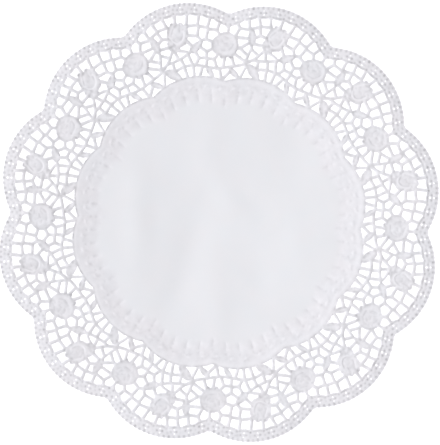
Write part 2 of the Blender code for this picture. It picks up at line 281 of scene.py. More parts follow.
# %% Distance to the stems, and room for gaps
def stem_curve(stem, side):
    """A stem's middle line."""
    return smooth_route([place(turn + side, radius) for turn, radius in stem.route])


all_stems = [(stem, stem_curve(stem, side)) for stem in STEMS.values() for side in SIDES]
stem_curves = [curve for stem, curve in all_stems]
# Each straight run keeps its stem's half width and its share of painted shade
of_runs = [(stem.width / 2, stem.press) for stem, curve in all_stems for _ in curve[1:]]
stem_halves, stem_shades = np.array(of_runs).T
print(f"{len(of_runs)} straight runs along the stems of three repeats")


def stem_distance(points):
    """Distance from the nearest stem's outline, that stem's half width and its share of the strands' painted
    shade.
    """
    to_stems = from_runs(points, *stem_curves) - stem_halves
    nearest = to_stems.argmin(1)
    return to_stems.min(1), stem_halves[nearest], stem_shades[nearest]


def clearance(points):
    """How far each point is from the nearest motif, the border or the plain middle."""
    found = [stem_distance(points)[0]]
    found += [leaf_distance(points, leaf, side) for leaf in LEAVES for side in SIDES]
    found += [rose_distance(points, rose, side) for rose in ROSES.values() for side in SIDES]
    found.append(LOBE - border_width(points) - from_lobes(points, LOBE_AT))
    found.append(from_lobes(points, DISC_LOBE_AT) - DISC_LOBE)
    return np.min(found, axis=0)


# %% [markdown]
# ## Growing the gaps
#
# Rays leave a gap's centre and walk outwards, each by as much room as is left: half a strand short of the
# line midway to the next gap, or up to the nearest motif. The smallest of these is taken as a soft minimum,
# and that rounds the corners, as a punch does.

# %% Grow the net of gaps
RAYS = 60
FINE = 0.25
WALK_STEPS = 24
REACH = 9.0  # more than the longest ray
CORNER_ROUND = 0.16
SIGHT_STEPS = 48
SIGHT_OVERLAP = 0.4  # how deep a motif's edge may stand between two gaps that still face each other
EDGE_SLACK = 0.05  # how far the outline may stray from the curve
EDGE_LONGEST = 2.4


def simplified(loop):
    """The fewest points of a closed curve that stay close to it, so that corners keep more of them."""
    kept, first = [0], 0
    while first < len(loop):
        last = first + 2
        while last <= len(loop):
            run = loop[np.arange(first, last + 1) % len(loop)]
            stray = from_runs(run[1:-1], run[[0, -1]]).max()
            if stray > EDGE_SLACK or np.linalg.norm(run[-1] - run[0]) > EDGE_LONGEST:
                break
            last += 1
        first = last - 1
        kept.append(first)
    return loop[kept[:-1]]


centres = np.array([place(turn, radius) for turn, radius in GAPS])
all_centres = all_sides(centres)


def gap_outline(centre):
    """The closed outline of the gap round that centre."""
    offsets = all_centres - centre
    apart = np.linalg.norm(offsets, axis=1)
    near = (apart > FINE) & (apart < 2 * REACH)
    offsets, apart = offsets[near], apart[near]
    sight = np.linspace(0, 1, SIGHT_STEPS)[:, None]
    faced = np.array([clearance(centre + offset * sight).min() > -SIGHT_OVERLAP for offset in offsets])
    normals = offsets[faced] / apart[faced, None]
    limits = (apart[faced] - STRAND_WIDTH) / 2
    ways = ring(RAYS, 1.0)
    gone = np.zeros(RAYS)
    for _ in range(WALK_STEPS):
        points = centre + ways * gone[:, None]
        room = np.column_stack([clearance(points), limits - (points - centre) @ normals.T])
        soft = -CORNER_ROUND * np.log(np.exp(-room / CORNER_ROUND).sum(1))
        gone = np.clip(gone + soft, 0, REACH)
    return simplified(spaced(centre + ways * gone[:, None], FINE, closed=True))


gap_loops = [gap_outline(centre) for centre in centres]
print(f"{sum(map(len, gap_loops))} points round {len(gap_loops)} gaps")

# %% [markdown]
# ## The beaded border
#
# The border follows each lobe, so it is set out from the lobe's own centre, by an angle from the lobe's
# axis and an inset from its edge. A bead sits at each step of the edge, and every third step has a window:
# two pinholes with a bead on either side. A faint rung divides each window from the next. Below the rungs
# are knots, and a cord hangs like a swag from knot to knot, so the border's inner side is scalloped too.

# %% Set out the border
WINDOWS = 8
BEADS = 23  # the last of a lobe sits in the notch and belongs to the next one too
EDGE_BULGE = 0.22
NOTCH_SOFTEN = 1.0
EDGE_POINTS = 92  # four to a bead
LOBE_SPAN = 0.7  # how far to each side a lobe's arc is taken, as a share of a step
WINDOW_INSET = 4.4
WINDOW_MOST_LEAN = 24.0
WINDOW_BEAD_ASIDE = 1.75
BEAD_INSET = 1.2
KNOT_INSET = 6.5
RUNG_INSET = 3.6
HOLE_POINTS = 8
HOLES = [(1.38, 0.61), (-1.38, 0.68)]  # how far outwards of the window's middle, and radius
WINDOW_STEPS = np.arange(WINDOWS) - (WINDOWS - 1) / 2
RUNG_STEPS = np.arange(WINDOWS + 1) - WINDOWS / 2


def in_lobe(angle, inset):
    """The point at that angle about the lobe's centre and that inset from its edge."""
    return place(angle, LOBE - inset) + np.array([0.0, LOBE_AT])


def edge_reach(turn):
    """Radius of the scalloped edge at that turn, with its notches softened and its beads bulging."""
    reaches = []
    for side in SIDES:
        aside = np.radians(turn - side)
        reach = lobe_reach(aside, LOBE_AT, LOBE)
        about = np.degrees(np.arctan2(reach * np.sin(aside), reach * np.cos(aside) - LOBE_AT))
        bulge = EDGE_BULGE * -np.cos(2 * np.pi * about / BEAD_STEP)
        reaches.append(np.where(np.abs(turn - side) < LOBE_SPAN * STEP, reach + bulge, 0.0))
    return NOTCH_SOFTEN * np.log(np.exp((np.array(reaches) - RADIUS) / NOTCH_SOFTEN).sum(0)) + RADIUS


edge_turns = (np.arange(EDGE_POINTS) / EDGE_POINTS - 0.5) * STEP
edge = place(edge_turns, edge_reach(edge_turns))

hole_loops, window_beads = [], []
for step in WINDOW_STEPS:
    middle = in_lobe(step * WINDOW_STEP, WINDOW_INSET)
    lean = np.clip(step * WINDOW_STEP, -WINDOW_MOST_LEAN, WINDOW_MOST_LEAN)
    for outwards, radius in HOLES:
        hole_loops.append(middle + place(lean, outwards) + ring(HOLE_POINTS, radius, lean))
    window_beads += [middle + place(lean + quarter, WINDOW_BEAD_ASIDE) for quarter in (-90, 90)]

edge_beads = in_lobe((np.arange(BEADS) - BEADS / 2) * BEAD_STEP, BEAD_INSET)
knots = in_lobe(RUNG_STEPS * WINDOW_STEP, KNOT_INSET)
rungs = in_lobe(RUNG_STEPS * WINDOW_STEP, RUNG_INSET)
swag_share = np.linspace(-SWAG_SPAN, SWAG_SPAN, 9)
swag_inset = KNOT_INSET + SWAG_DIP * np.cos(np.pi * swag_share)
swags = [in_lobe((step + swag_share) * WINDOW_STEP, swag_inset) for step in WINDOW_STEPS]
print(f"{BEADS} edge beads, {len(window_beads)} window beads and {len(hole_loops)} pinholes in a lobe")

# %% [markdown]
# ## Petals, veins and the rim of the plain middle
#
# A rose is a shallow dish. Its petals show as creases, each a short route about the rose's heart, and the
# paper just outside a crease stands up like the lip of a petal. A few folds of the bud stand up instead,
# and the tips of sepals are pressed hard. A leaf has a raised midrib. The plain middle is framed by a cord,
# a ring of small shells, a ring of dots, and a ring of flutes that point inwards.

# %% Chart the creases
# How deep a crease is, and its route: turn and radius about the heart
CREASES = {
    "bud": [
        (0.40, [(-128, 3.8), (-158, 4.0), (176, 4.2), (150, 4.0), (122, 3.7), (96, 3.9), (76, 4.4)]),
        (0.34, [(4, 8.4), (-6, 6.4), (-20, 4.8), (-52, 3.8), (-84, 4.0)]),
        (0.28, [(30, 7.4), (30, 5.6), (44, 3.6), (60, 2.6)]),
        (0.26, [(-64, 1.2), (0, 0.9), (60, 1.4)]),
        (0.30, [(-92, 6.0), (-112, 5.2), (-136, 5.6), (-158, 6.2)]),
        (0.24, [(58, 6.8), (52, 5.6), (60, 4.6)]),
    ],
    "full": [
        (0.40, [(-50, 6.0), (-68, 5.2), (-84, 4.7), (-94, 3.6)]),
        (0.42, [(-134, 4.9), (-155, 4.3), (-176, 4.2), (160, 4.4), (132, 4.5), (104, 4.9)]),
        (0.32, [(6, 5.6), (22, 4.9), (38, 4.7), (56, 5.4)]),
        (0.28, [(-26, 4.6), (-34, 3.2)]),
        (0.34, [(-50, 1.3), (10, 0.9), (60, 1.3)]),
        (0.26, [(150, 1.9), (126, 2.3), (106, 3.0)]),
        (0.22, [(62, 4.0), (74, 4.6), (84, 5.2)]),
    ],
}

# Folds that stand up instead, charted in the same way
FOLDS = {
    "bud": [
        (0.26, [(-4, 7.7), (-21, 5.6), (-55, 4.7), (-80, 4.6), (-98, 4.9)]),
        (0.22, [(16, 7.4), (14, 5.6), (8, 4.0)]),
        (0.30, [
            (57, 9.1), (63, 6.1), (87, 4.9), (110, 4.9), (143, 4.9), (178, 5.6), (-151, 5.4), (-127, 5.7),
            (-118, 6.7),
        ]),
        (0.20, [(-143, 8.0), (-161, 8.9)]),
    ],
    "full": [],
}
print(f"{sum(map(len, CREASES.values()))} creases and {sum(map(len, FOLDS.values()))} folds in two roses")


def crease_curve(rose, route, side):
    """The curve of a crease or a fold."""
    heart = place(rose[0].turn + side, rose[0].radius)
    turns, radii = np.array(route).T
    points = place(np.degrees(np.unwrap(np.radians(turns))), radii)
    return heart + turned(smooth_route(list(points)), side)


# %% Chart the sepals' tips and the rim of the plain middle
# Hard pressed tips of sepals and petals: turn and radius on the whole sheet, and how hard, which sets
# both their dip and the painted shade in them
TIPS = [
    (13.1, 111.6, 0.38), (14.65, 111.1, 0.36), (16.2, 111.4, 0.38), (17.5, 114.0, 0.36),
    (-3.8, 121.7, 0.18), (-2.6, 120.3, 0.14), (-0.9, 119.1, 0.20), (-1.1, 136.7, 0.32),
    (1.1, 135.8, 0.34),
]
TIP_SIZE = 1.1

RIM_TURNS = np.array([-15.0, -9.0, -3.0, 3.0, 9.0])
DOT_INSET, DOT_SIZE = 9.45, 1.5
FLUTE_INSET, FLUTE_LENGTH, FLUTE_HALF = 11.35, 7.0, 1.85
SHELL_TURNS = RIM_TURNS + 3.9  # a shell stands aside from each flute
SHELL_INSET, SHELL_LENGTH, SHELL_HALF = 6.75, 2.2, 0.9
SHELL_TILT = 12.0


def disc_reach(turn):
    """Radius of the plain middle's edge at that turn."""
    aside = np.radians((turn + STEP / 2) % STEP - STEP / 2)
    return lobe_reach(aside, DISC_LOBE_AT, DISC_LOBE)


tips = np.array([place(turn, radius) for turn, radius, _ in TIPS])
dots = place(RIM_TURNS, disc_reach(RIM_TURNS) - DOT_INSET)
shells = place(SHELL_TURNS, disc_reach(SHELL_TURNS) - SHELL_INSET)
print(f"{len(tips)} tips, {len(dots)} dots, {len(RIM_TURNS)} flutes and {len(shells)} shells in a repeat")

# %% [markdown]
# ## Points to press
#
# An embossed form shows only where the mesh has points to lift, and a sheet this fine can't afford them
# everywhere. So the points go where the relief is: a ring round each bead, rows along creases, veins and
# strands, and a loose fill between. A candidate is dropped when one of higher rank is already near it. The
# neighbouring repeats count too, so that twelve turned copies fit together.

# %% Gather the points of one repeat
class Points:
    """Points of one repeat, and a grid of cells that finds near ones, in the next repeats too."""

    CELL = 1.0

    def __init__(self):
        self.kept, self.cells = [], {}

    def add(self, candidates, spacing):
        """Keeps each candidate that has nothing within the spacing."""
        reach = math.ceil(spacing / self.CELL)
        for x, y in candidates:
            column, row = int(x // self.CELL), int(y // self.CELL)
            near = (
                other
                for i in range(column - reach, column + reach + 1)
                for j in range(row - reach, row + reach + 1)
                for other in self.cells.get((i, j), ())
            )
            if all((x - a) ** 2 + (y - b) ** 2 >= spacing**2 for a, b in near):
                self.keep((x, y))

    def keep(self, point):
        """Keeps a point, and files it and its two neighbours under their cells."""
        self.kept.append(point)
        for side in SIDES:
            x, y = turned(point, side)
            self.cells.setdefault((int(x // self.CELL), int(y // self.CELL)), []).append((x, y))


# %% Tell paper from gaps
def inside(points, loop):
    """Whether each point is inside a closed outline."""
    x, y = points[:, :1], points[:, 1:]
    ax, ay = loop.T
    bx, by = np.roll(loop, -1, axis=0).T
    spans = (ay > y) != (by > y)
    rise = np.where(by == ay, 1.0, by - ay)
    return (spans & (x < ax + (y - ay) * (bx - ax) / rise)).sum(1) % 2 == 1


cut_loops = gap_loops + hole_loops
in_repeat = [*(spaced(loop, FINE, closed=True) for loop in cut_loops), spaced(edge, FINE)]
cut_samples = all_sides(np.concatenate(in_repeat))
cut_tree = KDTree(len(cut_samples))
for index, (x, y) in enumerate(cut_samples):
    cut_tree.insert((x, y, 0), index)
cut_tree.balance()
print(f"{len(cut_samples)} samples along the cut edges of three repeats")


def cut_distance(points):
    """Distance from the nearest cut edge."""
    return np.array([cut_tree.find((x, y, 0))[2] for x, y in points])


def on_paper(points):
    """Whether each point is inside the scalloped edge and in no gap or pinhole."""
    folded = (np.degrees(np.arctan2(points[:, 0], points[:, 1])) + STEP / 2) % STEP - STEP / 2
    paper = np.linalg.norm(points, axis=1) < edge_reach(folded)
    for side in SIDES:
        for loop in cut_loops:
            hole = turned(loop, side)
            near = np.linalg.norm(points - hole.mean(0), axis=1) < REACH
            paper[near] &= ~inside(points[near], hole)
    return paper


# %% Rows of points along each form
BEAD_SIZE, KNOT_SIZE, WINDOW_BEAD_SIZE = 1.2, 1.15, 1.15
SWAG_HALF, CREASE_HALF, FOLD_HALF = 0.8, 0.5, 0.7
BEAD_RINGS = ((6, 0.55), (9, 1.05))  # points in a ring, and its radius as a share of the bead's
FLUTE_ROWS = 7
BESIDE_SPACING = 1.3
RING_PITCH = 0.87  # from ring to ring, as a share of the spacing
RIB_ENDS = (-0.45, 0.45)  # as shares of the leaf's length


def round_form(centre, size):
    """The middle of a bead and two rings of points round it."""
    rings = [ring(count, size * share) for count, share in BEAD_RINGS]
    return centre + np.vstack([[(0.0, 0.0)], *rings])


def ribbon(curve, half, spacing, rows=(-1, 0, 1)):
    """Rows of points that follow a curve at each side of it."""
    stops = spaced(curve, spacing)
    ahead = np.gradient(stops, axis=0)
    ahead /= np.linalg.norm(ahead, axis=1)[:, None]
    return np.concatenate([stops + to_right(ahead) * half * row for row in rows])


def ring_fill(inner, outer, spacing):
    """Points on rings, whose number in a repeat is whole, so that twelve repeats join."""
    found = []
    for row, radius in enumerate(np.arange(inner, outer, spacing * RING_PITCH)):
        count = max(1, round(math.radians(STEP) * radius / spacing))
        turns = (np.arange(count) + 0.5 * (row % 2)) / count * STEP - STEP / 2
        found.append(place(turns, radius))
    return np.concatenate(found)


def flute_width(down):
    """Width of a flute from its top (0) to its tip (1), as a share of the widest."""
    return np.sqrt(np.clip(5.5 * down * (1 - down) ** 2.2, 0, 1))


def flute_shape(turn):
    """Points down the middle and round the rim of one flute."""
    top = disc_reach(turn) - FLUTE_INSET
    down = np.linspace(0, 1, FLUTE_ROWS)
    half = FLUTE_HALF * flute_width(down)
    middle = place(np.full(FLUTE_ROWS, turn), top - down * FLUTE_LENGTH)
    aside = place(turn + 90.0, 1.0)
    return np.concatenate([middle + half[:, None] * aside * row for row in (0, -0.5, 0.5, -1, 1)])


def beside_gap(loop):
    """Points half a strand outside a gap's outline, so along the middle of its strands."""
    loop = spaced(loop, BESIDE_SPACING, closed=True)
    ahead = np.roll(loop, -1, axis=0) - np.roll(loop, 1, axis=0)
    normal = to_right(ahead) / np.linalg.norm(ahead, axis=1)[:, None]
    normal *= np.sign((normal * (loop - loop.mean(0))).sum(1))[:, None]
    return loop + normal * STRAND_WIDTH / 2


# %% Rank them and thin them out
RIM_ROWS, RIM_POINTS = (0.5, 1.1, 1.8, 2.7, 4.0), 44  # insets from the edge, and points in each
ROUND_FORMS = [
    (edge_beads, BEAD_SIZE, 0.3), (window_beads, WINDOW_BEAD_SIZE, 0.3), (knots, KNOT_SIZE, 0.3),
    (tips, TIP_SIZE, 0.35), (dots, DOT_SIZE, 0.35),
]
FILLS = [(98.5, RADIUS, 1.0, 0.84), (76.0, 98.5, 1.7, 1.4), (8.0, 76.0, 4.0, 3.2)]

# Each row of points comes with how far apart they must stay
rows = [(round_form(centre, size), apart) for centres, size, apart in ROUND_FORMS for centre in centres]
rows += [(ribbon(swag, SWAG_HALF, 0.9), 0.4) for swag in swags]
for name, rose in ROSES.items():
    for _, route in CREASES[name] + FOLDS[name]:
        rows.append((ribbon(crease_curve(rose, route, 0.0), CREASE_HALF, 0.7), 0.4))
for leaf in LEAVES:
    middle, along, _ = leaf_axes(leaf)
    rib = middle + np.outer(RIB_ENDS, along) * leaf.length
    rows.append((ribbon(rib, leaf.width / 4, 0.8), 0.5))
for stem in STEMS.values():
    rows.append((ribbon(stem_curve(stem, 0.0), stem.width / 2, 0.9, rows=(0,)), 0.5))
rows += [(beside_gap(loop), 0.42) for loop in gap_loops]
rim_turns = (np.arange(RIM_POINTS) / RIM_POINTS - 0.5) * STEP
rows += [(place(rim_turns, disc_reach(rim_turns) - inset), 0.5) for inset in RIM_ROWS]
rows += [(flute_shape(turn), 0.4) for turn in RIM_TURNS]
rows += [(round_form(centre, SHELL_LENGTH * 0.8), 0.4) for centre in shells]
rows += [(ring_fill(inner, outer, spacing), apart) for inner, outer, spacing, apart in FILLS]

points = Points()
for point in np.concatenate([*cut_loops, edge]):
    points.keep(tuple(point))
fixed = len(points.kept)
for candidates, apart in rows:
    keep = on_paper(candidates)
    keep[keep] &= cut_distance(candidates[keep]) > FINE
    points.add(candidates[keep], apart)
plan = np.array(points.kept)
print(f"{fixed} points on cut edges and {len(plan) - fixed} within one repeat")

# %% [markdown]
# ## Pressing the paper
#
# Strands stand up, and leaves and roses are dishes with raised outlines. Each form is a height, as a formula
# of the distance to it, and the hollows of beads, knots and swags are taken off. Each also carries a painted
# shade from 0 to 1: colour that darkens strands, creases, grooves and hollows as if they lay in shade, while
# negative shares are painted highlights on lips, folds, midribs, cords and shells. Motifs tilt a little,
# because the sheet never lies flat under them, and the whole lace ring lifts from the table, because
# embossing stretches it.

# %% Steps, ridges and hollows
def smooth_step(value, low, high):
    """0 below low, 1 above high and a smooth rise between."""
    t = np.clip((value - low) / (high - low), 0, 1)
    return t * t * (3 - 2 * t)


def rounded(depth, width):
    """The quarter round of an edge: 0 at no depth, 1 from that width on."""
    t = np.clip(depth / width, 0, 1)
    return np.sqrt(t * (2 - t))


def ridge(distance, half, at=0.0):
    """1 along the line at that distance, with a smooth fall to each side."""
    return np.exp(-(((distance - at) / half) ** 2))


def dimple(distance, size):
    """A round hollow: 1 in the middle, 0 at its rim."""
    t = np.clip(1 - (distance / size) ** 2, 0, 1)
    return t * np.sqrt(t)


def tilted(points, middle, outwards, clockwise):
    """Height of a plane that tilts about a middle, by its slope outwards and its slope clockwise."""
    away = middle / np.linalg.norm(middle)
    offset = points - middle
    return outwards * (offset @ away) + clockwise * (offset @ to_right(away))


# %% Leaves
# Painted shade of the rim, the border and the motifs: how far their colour goes towards grey
RIM_SHADE, BORDER_SHADE, MOTIF_SHADE = 0.19, 0.20, 0.17
LEAF_DIP, DISH_FROM, LEAF_EDGE = 0.42, 0.1, (0.3, 1.0)
LEAF_TILT, ROSE_TILT = (0.04, 0.05), (-0.02, 0.025)  # slope outwards, slope clockwise
# The midrib gets a painted highlight, and the veins a painted shade
RIB_HEIGHT, RIB_HALF, RIB_REACH, RIB_SHADE = 0.10, 0.4, 0.42, -0.12
VEIN_DEPTH, VEIN_PITCH, VEINS_FADE, VEIN_SHADE = 0.04, 1.7, (0.3, 0.8), 0.08


def leaf_relief(points, leaf, side):
    """A leaf's dish with its midrib raised and its veins pressed in, its painted shade and the depth inside
    it.
    """
    middle, along, right = leaf_axes(leaf, side)
    depth = -leaf_distance(points, leaf, side)
    ahead, across = (points - middle) @ along, np.abs((points - middle) @ right)
    rib = ridge(across, RIB_HALF) * (np.abs(ahead) < RIB_REACH * leaf.length)
    veins = np.cos(2 * np.pi * (ahead - across) / VEIN_PITCH) * smooth_step(across, *VEINS_FADE)
    inner = smooth_step(depth, *LEAF_EDGE)
    height = (RIB_HEIGHT * rib - VEIN_DEPTH * veins) * inner
    height -= LEAF_DIP * smooth_step(depth, DISH_FROM, leaf.width / 2)
    height += inner * tilted(points, middle, *LEAF_TILT)
    # Painted shade in the veins, and a painted highlight along the midrib
    press = MOTIF_SHADE + (VEIN_SHADE * veins + RIB_SHADE * rib) * inner
    return np.where(depth > 0, height, 0.0), np.where(depth > 0, press, 0.0), depth


# %% Roses
ROSE_DIP, ROSE_DIP_OVER, ROSE_EDGE = 0.28, 2.0, (-0.4, 0.9)
GROOVE_DIP, LIP_RISE, LIP_AT, LIP_HALF = 0.35, 0.25, 1.0, 0.6
# A crease gets painted shade and the lip beside it as much painted highlight, and a fold gets a painted
# highlight
CREASE_SHADE, FOLD_RISE, FOLD_SHADE = 0.6, 0.18, -0.38
# Painted shade over a whole rose, and a painted highlight along the full rose's rim
ROSE_SHADE = MOTIF_SHADE + 0.02
RIM_LIP_AT, RIM_LIP_SHADE = 2.0, {"bud": 0.0, "full": -0.05}


def rose_relief(points, name, side):
    """A rose's dish with its creases pressed in and its lips raised, its painted shade and the depth inside
    it.
    """
    rose = ROSES[name]
    depth = -rose_distance(points, rose, side)
    heart = place(rose[0].turn + side, rose[0].radius)
    height = -ROSE_DIP * smooth_step(depth, 0.0, ROSE_DIP_OVER)
    press = np.zeros(len(points))
    from_heart = np.linalg.norm(points - heart, axis=1)
    for deep, route in CREASES[name]:
        curve = crease_curve(rose, route, side)
        to_runs = from_runs(points, curve)
        distance, nearest = to_runs.min(1), curve[to_runs.argmin(1)]
        outside = np.sign(from_heart - np.linalg.norm(nearest - heart, axis=1))
        groove = ridge(distance, CREASE_HALF)
        lip = ridge(distance * outside, LIP_HALF, LIP_AT)
        height += deep * (LIP_RISE * lip - GROOVE_DIP * groove)
        # Painted shade in the groove, painted highlight on the lip
        press += deep * (CREASE_SHADE * groove - CREASE_SHADE * lip)
    for high, route in FOLDS[name]:
        distance = from_runs(points, crease_curve(rose, route, side)).min(1)
        raised = high * ridge(distance, FOLD_HALF)
        height += FOLD_RISE * raised
        # Painted highlight along the fold
        press += FOLD_SHADE * raised
    # Painted shade over the rose, less of it along the full rose's rim: a painted highlight
    press += ROSE_SHADE + RIM_LIP_SHADE[name] * ridge(depth, LIP_HALF, RIM_LIP_AT)
    height += tilted(points, heart, *ROSE_TILT)
    inner = smooth_step(depth, *ROSE_EDGE)
    return np.where(depth > 0, height * inner, 0.0), np.where(depth > 0, press * inner, 0.0), depth


# %% The rim of the plain middle
# Inset from the edge and height
RIM_PROFILE = [
    (0.0, 0.40), (0.75, 0.19), (1.25, 0.23), (2.05, 0.34), (3.5, 0.21), (5.1, 0.245),
    (9.1, 0.19), (16.0, 0.0),
]
DOT_DIP, FLUTE_DIP, SHELL_RISE, MOAT_DIP = 0.18, 0.25, 0.20, 0.10
# Painted shade in the dots, flutes and moats, and a painted highlight on the shells
DOT_SHADE, FLUTE_SHADE, SHELL_SHADE, MOAT_SHADE = 0.19, 0.17, -0.15, 0.17
MOAT_AT, MOAT_HALF = 1.6, 0.4  # in sizes of the shell that it surrounds
MIDDLE_SLACK = 0.05
BANDS = [(0.4, 0.65, 0.45), (2.25, 0.5, -0.1)]  # inset, half width and painted shade of the groove and the cord; the cord's is a painted highlight


def rim_relief(points):
    """Relief of the plain middle's rim, its painted shade, and which points are on the middle."""
    depth = edge_inset(points, DISC_LOBE_AT, DISC_LOBE)
    height = np.interp(depth, *np.array(RIM_PROFILE).T)
    near_dots = dimple(to_nearest(points, all_sides(dots)), DOT_SIZE)
    near_flutes, near_shells, moats = np.zeros((3, len(points)))
    for side in SIDES:
        for turn in RIM_TURNS:
            top = disc_reach(turn) - FLUTE_INSET
            local = turned(points, -(turn + side))
            down = np.clip((top - local[:, 1]) / FLUTE_LENGTH, 0, 1)
            half = FLUTE_HALF * np.maximum(flute_width(down), 1e-3)
            near_flutes = np.maximum(near_flutes, flute_width(down) * dimple(local[:, 0], half))
        for turn in SHELL_TURNS:
            local = turned(points, -(turn + side)) - np.array([0.0, disc_reach(turn) - SHELL_INSET])
            local = turned(local, SHELL_TILT)
            away = np.hypot(local[:, 0] / SHELL_LENGTH, local[:, 1] / SHELL_HALF)
            near_shells = np.maximum(near_shells, dimple(away, 1.0))
            moats = np.maximum(moats, ridge(away, MOAT_HALF, MOAT_AT))
    height += SHELL_RISE * near_shells - MOAT_DIP * moats - DOT_DIP * near_dots - FLUTE_DIP * near_flutes
    # Painted shade in the rim's groove, dots, flutes and moats, and painted highlights on its cord and
    # shells
    press = RIM_SHADE + sum(shade_weight * ridge(depth, half, inset) for inset, half, shade_weight in BANDS)
    press += DOT_SHADE * near_dots + FLUTE_SHADE * near_flutes
    press += MOAT_SHADE * moats + SHELL_SHADE * near_shells
    return height, press, depth > -MIDDLE_SLACK


# %% All the forms together
PLATE = 0.34  # height of strands and of the raised outlines of the motifs
EDGE_ROUND = STRAND_WIDTH / 2
CUT_LEFT = [1.0, 0.8, 0.7]  # share of its height that paper keeps at a cut: middle, border, motifs
# Painted shade of the net, and more along strands and their joints, as if they lay in shade
NET_SHADE, STRAND_SHADE, JOINT_SHADE = 0.12, 0.40, 0.16
# From the cut, where the painted shade of strands and joints sets in and is full, and where motifs end it
STRAND_RISE, JOINT_RISE = (-0.2, STRAND_WIDTH / 2), (STRAND_WIDTH / 2, 0.75 * STRAND_WIDTH)
STRAND_FADE, STEM_SLACK, JOINT_SLACK = (0.8, 1.7), 0.2, 0.2
STEM_RISE = 0.10
RUNG_SIZE = 1.0
HOLLOWS = [  # centres, size, depth and painted shade
    (edge_beads, BEAD_SIZE, 0.18, 0.86), (window_beads, WINDOW_BEAD_SIZE, 0.22, 0.76),
    (knots, KNOT_SIZE, 0.26, 0.76), (rungs, RUNG_SIZE, 0.06, 0.44),
]
TIP_DIP = 0.32  # times the tip's press
# A swag's hollow is also painted darker: painted shade
SWAG_HOLLOW, SWAG_SHADE = 0.20, 0.65


def relief(points, cut):
    """Height of the pressed paper over the plain sheet, and its painted shade from 0 to 1."""
    in_border = edge_inset(points, LOBE_AT, LOBE) < border_width(points)
    stem_gap, stem_half, stem_shade = stem_distance(points)
    height = PLATE + STEM_RISE * dimple(np.clip(stem_gap + stem_half, 0, None), stem_half)
    press, depth = np.zeros(len(points)), np.full(len(points), -REACH)
    for side in SIDES:
        motifs = [leaf_relief(points, leaf, side) for leaf in LEAVES]
        motifs += [rose_relief(points, name, side) for name in ROSES]
        for form, shade_amount, within in motifs:
            height, press, depth = height + form, press + shade_amount, np.maximum(depth, within)
    # Painted shade along strands and their joints, and less of it at stems
    at_strands = smooth_step(cut, *STRAND_RISE) * (1 - smooth_step(depth, *STRAND_FADE))
    at_strands *= np.where(stem_gap < STEM_SLACK, stem_shade, 1.0)
    at_joints = smooth_step(cut, *JOINT_RISE) * (depth < -JOINT_SLACK)
    strand_shade = STRAND_SHADE * at_strands + JOINT_SHADE * at_joints
    press += np.where(in_border, BORDER_SHADE, NET_SHADE + strand_shade)
    hollows = [
        (dimple(to_nearest(points, all_sides(centres)), size), dip, shade_weight)
        for centres, size, dip, shade_weight in HOLLOWS
    ]
    # A sepal's tip dips by its third number and takes that much painted shade
    to_tips = np.linalg.norm(points[:, None] - all_sides(tips), axis=2)
    tip_dips_and_shades = np.tile([shade_weight for _, _, shade_weight in TIPS], len(SIDES))
    hollows.append(((dimple(to_tips, TIP_SIZE) * tip_dips_and_shades).max(1), TIP_DIP, 1.0))
    to_swags = from_runs(points, *(turned(swag, side) for swag in swags for side in SIDES)).min(1)
    hollows.append((dimple(to_swags, SWAG_HALF), SWAG_HOLLOW, SWAG_SHADE))
    # The deepest hollow sets the dip, and the darkest one sets the painted shade
    deepest = np.max([hollow * dip for hollow, dip, shade_weight in hollows], axis=0)
    darkest = np.max([hollow * shade_weight for hollow, dip, shade_weight in hollows], axis=0)
    height, press = height - deepest, press + darkest
    rim, rim_shade, in_disc = rim_relief(points)
    height, press = np.where(in_disc, rim, height), np.where(in_disc, rim_shade, press)
    at_cut = np.select([in_disc, in_border, depth > 0], CUT_LEFT, 0.0)
    return height * (at_cut + (1 - at_cut) * rounded(cut, EDGE_ROUND)), np.clip(press, 0, 1)


# %% Lift the plain sheet and press it
BOWL, BOWL_FROM, BOWL_TO = 0.8, 15.0, 82.0  # a slow rise of the plain middle
RIM_LIFT, RIM_LIFT_OVER, RIM_LIFT_BEND = 0.75, 17.0, 1.3  # along its rim
NET_SLOPE = 0.017
LACE_INSETS = (-20.0, -13.0)  # from where the die works the plain middle, and where it works all of it
# Inset from the edge and height
BORDER_PROFILE = [(0.0, 0.0), (0.8, 0.03), (2.2, 0.26), (3.8, 0.27), (5.2, 0.53), (6.6, 0.61), (8.4, 0.97)]


def lift_of(points):
    """Height of the plain sheet over the table."""
    radius = np.linalg.norm(points, axis=1)
    inset = edge_inset(points, DISC_LOBE_AT, DISC_LOBE)
    fall_inset, fall = np.array(BORDER_PROFILE).T
    lift = BOWL * smooth_step(radius, BOWL_FROM, BOWL_TO)
    lift += RIM_LIFT * np.clip(1 - inset / RIM_LIFT_OVER, 0, 1) ** RIM_LIFT_BEND
    lift += NET_SLOPE * np.clip(radius - DISC_RADIUS, 0, None)
    return lift + np.interp(edge_inset(points, LOBE_AT, LOBE), fall_inset, fall - fall[-1])


cuts = cut_distance(plan)
cuts[:fixed] = 0.0
heights, painted_shades = relief(plan, cuts)
lift = lift_of(plan)
lace = smooth_step(-edge_inset(plan, DISC_LOBE_AT, DISC_LOBE), *LACE_INSETS)
# The painted shade goes on the lace alone
painted_shades *= lace
print(f"relief from {heights.min():.2f} to {heights.max():.2f} mm, lift up to {lift.max():.2f} mm")

# %% [markdown]
# ## Filling the sheet
#
# Twelve turned copies of the repeat's points, and one point for the middle, make the whole plan. Blender's
# own triangulator joins them and keeps to the cut edges. What it fills inside a gap or outside the edge is
# dropped. Broad swells and a fainter unevenness come on top, since no sheet of paper lies dead flat, and
# the painted shade is made patchy. The whole is let down until its lowest point touches the table.

